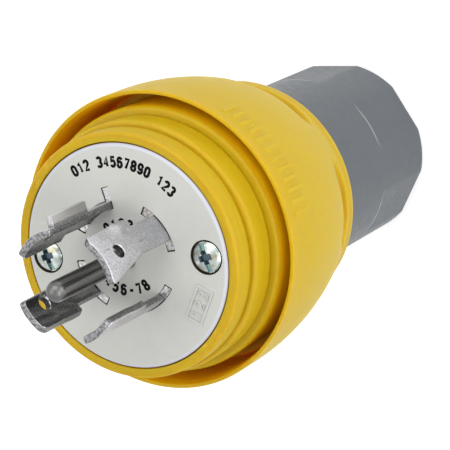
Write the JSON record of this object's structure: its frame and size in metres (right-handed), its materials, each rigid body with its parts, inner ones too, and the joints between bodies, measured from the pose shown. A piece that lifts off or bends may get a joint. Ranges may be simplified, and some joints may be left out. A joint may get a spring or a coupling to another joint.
{
  "type": "locking power plug",
  "caption": "Watertight locking power plug with curved blades, a centre ground pin, a soft safety shroud and a screw-on cord nut.",
  "frame": {"origin": "centre of the cord nut's flat end, on which the plug stands", "axes": "+Z along the plug's axis, towards the blades; +Y towards the top of the face; +X to the right seen from in front of the face"},
  "size_m": [0.07, 0.07, 0.1405],
  "materials": {
    "yellow_elastomer": "satin moulded",
    "grey_nylon": "matte moulded",
    "face_nylon": "satin moulded",
    "carrier_nylon": "moulded",
    "core_nylon": "moulded",
    "black_rubber": "moulded",
    "plated_brass": "tumbled nickel plate",
    "plain_brass": "plain",
    "zinc_steel": "bright zinc"
  },
  "bodies": {
    "cord_nut": {"cord_nut": "grey_nylon"},
    "slip_ring": {"slip_ring": "carrier_nylon", "cord_grommet": "black_rubber"},
    "housing": {"shroud_boot": "yellow_elastomer", "seal_sleeve": "yellow_elastomer", "housing_shell": "core_nylon", "face_plate": "face_nylon", "contact_carrier": "carrier_nylon", "face_gasket": "black_rubber", "ground_pin": "plated_brass", "ground_strap": "plain_brass", "insert_left": "plain_brass", "insert_right": "plain_brass", "face_screw_left": "zinc_steel", "face_screw_right": "zinc_steel", "blade_x": "plated_brass", "blade_y": "plated_brass", "blade_z": "plated_brass", "blade_neutral": "plated_brass", "terminal_screw_x": "zinc_steel", "clamp_plate_x": "plain_brass", "terminal_screw_y": "zinc_steel", "clamp_plate_y": "plain_brass", "terminal_screw_z": "zinc_steel", "clamp_plate_z": "plain_brass", "terminal_screw_neutral": "zinc_steel", "clamp_plate_neutral": "plain_brass", "terminal_screw_ground": "zinc_steel", "clamp_plate_ground": "plain_brass"}
  },
  "joints": [
    {"name": "nut_turn", "type": "hinge", "parent": "cord_nut", "child": "slip_ring", "pos_m": [0, 0, 0], "axis": [0, 0, 1], "range_deg": [0, 1620]},
    {"name": "nut_travel", "type": "slide", "parent": "slip_ring", "child": "housing", "axis": [0, 0, 1], "range_m": [0, 0.0135]}
  ],
  "couplings": [
    {"joint": "nut_travel", "follows": "nut_turn", "m_per_rad": 0.00047746}
  ]
}
